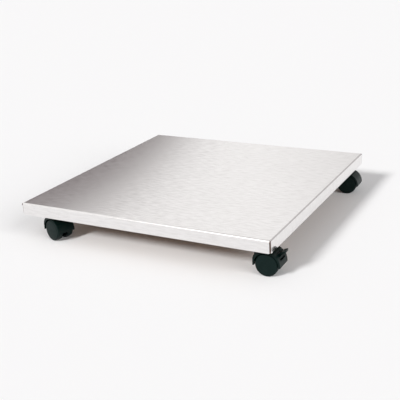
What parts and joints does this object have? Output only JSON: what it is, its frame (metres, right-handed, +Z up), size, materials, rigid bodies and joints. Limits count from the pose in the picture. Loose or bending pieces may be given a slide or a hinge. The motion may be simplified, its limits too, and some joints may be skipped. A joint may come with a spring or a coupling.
{
  "type": "plant caddy",
  "caption": "Low square rolling stand for a heavy plant pot: folded steel tray over a board, on swivelling twin-wheel casters, some with foot brakes.",
  "frame": {"origin": "on the floor, under the middle of the caddy", "axes": "+Z up; +X towards the right edge and -Y towards the front edge of the picture"},
  "size_m": [0.5252, 0.5, 0.074],
  "materials": {
    "stainless_cover": "fine brushed satin",
    "board": "bare pressed fibre board",
    "hood_plastic": "moulded, half gloss",
    "wheel_plastic": "moulded, smooth",
    "washer_plastic": "natural, matt",
    "zinc_steel": "bright zinc plate"
  },
  "bodies": {
    "deck": {"steel_cover": "stainless_cover", "core_board": "board", "front_right_mounting_plate": "zinc_steel", "front_right_plate_screws": "zinc_steel", "front_right_kingpin": "zinc_steel", "front_right_retaining_ring": "zinc_steel", "front_right_swivel_washer": "washer_plastic", "front_left_mounting_plate": "zinc_steel", "front_left_plate_screws": "zinc_steel", "front_left_kingpin": "zinc_steel", "front_left_retaining_ring": "zinc_steel", "front_left_swivel_washer": "washer_plastic", "back_right_mounting_plate": "zinc_steel", "back_right_plate_screws": "zinc_steel", "back_right_kingpin": "zinc_steel", "back_right_retaining_ring": "zinc_steel", "back_right_swivel_washer": "washer_plastic", "back_left_mounting_plate": "zinc_steel", "back_left_plate_screws": "zinc_steel", "back_left_kingpin": "zinc_steel", "back_left_retaining_ring": "zinc_steel", "back_left_swivel_washer": "washer_plastic"},
    "front_right_swivel": {"front_right_hood": "hood_plastic", "front_right_axle": "zinc_steel", "front_right_lever_pin": "zinc_steel"},
    "front_right_wheel_1": {"front_right_wheel_1": "wheel_plastic"},
    "front_right_wheel_2": {"front_right_wheel_2": "wheel_plastic"},
    "front_right_brake_lever": {"front_right_brake_lever": "hood_plastic"},
    "front_left_swivel": {"front_left_hood": "hood_plastic", "front_left_axle": "zinc_steel"},
    "front_left_wheel_1": {"front_left_wheel_1": "wheel_plastic"},
    "front_left_wheel_2": {"front_left_wheel_2": "wheel_plastic"},
    "back_right_swivel": {"back_right_hood": "hood_plastic", "back_right_axle": "zinc_steel"},
    "back_right_wheel_1": {"back_right_wheel_1": "wheel_plastic"},
    "back_right_wheel_2": {"back_right_wheel_2": "wheel_plastic"},
    "back_left_swivel": {"back_left_hood": "hood_plastic", "back_left_axle": "zinc_steel", "back_left_lever_pin": "zinc_steel"},
    "back_left_wheel_1": {"back_left_wheel_1": "wheel_plastic"},
    "back_left_wheel_2": {"back_left_wheel_2": "wheel_plastic"},
    "back_left_brake_lever": {"back_left_brake_lever": "hood_plastic"}
  },
  "joints": [
    {"name": "front_right_swivel_turn", "type": "hinge", "parent": "deck", "child": "front_right_swivel", "pos_m": [0.2125, -0.2125, 0.0498], "axis": [0, 0, 1], "continuous": true},
    {"name": "front_right_wheel_1_spin", "type": "hinge", "parent": "front_right_swivel", "child": "front_right_wheel_1", "pos_m": [0.2325, -0.21215, 0.02], "axis": [-0.0175, 0.9998, 0], "continuous": true},
    {"name": "front_right_wheel_2_spin", "type": "hinge", "parent": "front_right_swivel", "child": "front_right_wheel_2", "pos_m": [0.2325, -0.21215, 0.02], "axis": [-0.0175, 0.9998, 0], "continuous": true},
    {"name": "front_right_brake_press", "type": "hinge", "parent": "front_right_swivel", "child": "front_right_brake_lever", "pos_m": [0.24361, -0.21196, 0.03151], "axis": [-0.0175, 0.9998, 0], "range_deg": [0, 15]},
    {"name": "front_left_swivel_turn", "type": "hinge", "parent": "deck", "child": "front_left_swivel", "pos_m": [-0.2125, -0.2125, 0.0498], "axis": [0, 0, 1], "continuous": true},
    {"name": "front_left_wheel_1_spin", "type": "hinge", "parent": "front_left_swivel", "child": "front_left_wheel_1", "pos_m": [-0.19359, -0.21901, 0.02], "axis": [0.3256, 0.9455, 0], "continuous": true},
    {"name": "front_left_wheel_2_spin", "type": "hinge", "parent": "front_left_swivel", "child": "front_left_wheel_2", "pos_m": [-0.19359, -0.21901, 0.02], "axis": [0.3256, 0.9455, 0], "continuous": true},
    {"name": "back_right_swivel_turn", "type": "hinge", "parent": "deck", "child": "back_right_swivel", "pos_m": [0.2125, 0.2125, 0.0498], "axis": [0, 0, 1], "continuous": true},
    {"name": "back_right_wheel_1_spin", "type": "hinge", "parent": "back_right_swivel", "child": "back_right_wheel_1", "pos_m": [0.23248, 0.21337, 0.02], "axis": [-0.0436, 0.999, 0], "continuous": true},
    {"name": "back_right_wheel_2_spin", "type": "hinge", "parent": "back_right_swivel", "child": "back_right_wheel_2", "pos_m": [0.23248, 0.21337, 0.02], "axis": [-0.0436, 0.999, 0], "continuous": true},
    {"name": "back_left_swivel_turn", "type": "hinge", "parent": "deck", "child": "back_left_swivel", "pos_m": [-0.2125, 0.2125, 0.0498], "axis": [0, 0, 1], "continuous": true},
    {"name": "back_left_wheel_1_spin", "type": "hinge", "parent": "back_left_swivel", "child": "back_left_wheel_1", "pos_m": [-0.2325, 0.21215, 0.02], "axis": [0.0175, -0.9998, 0], "continuous": true},
    {"name": "back_left_wheel_2_spin", "type": "hinge", "parent": "back_left_swivel", "child": "back_left_wheel_2", "pos_m": [-0.2325, 0.21215, 0.02], "axis": [0.0175, -0.9998, 0], "continuous": true},
    {"name": "back_left_brake_press", "type": "hinge", "parent": "back_left_swivel", "child": "back_left_brake_lever", "pos_m": [-0.24361, 0.21196, 0.03151], "axis": [0.0175, -0.9998, 0], "range_deg": [0, 15]}
  ]
}
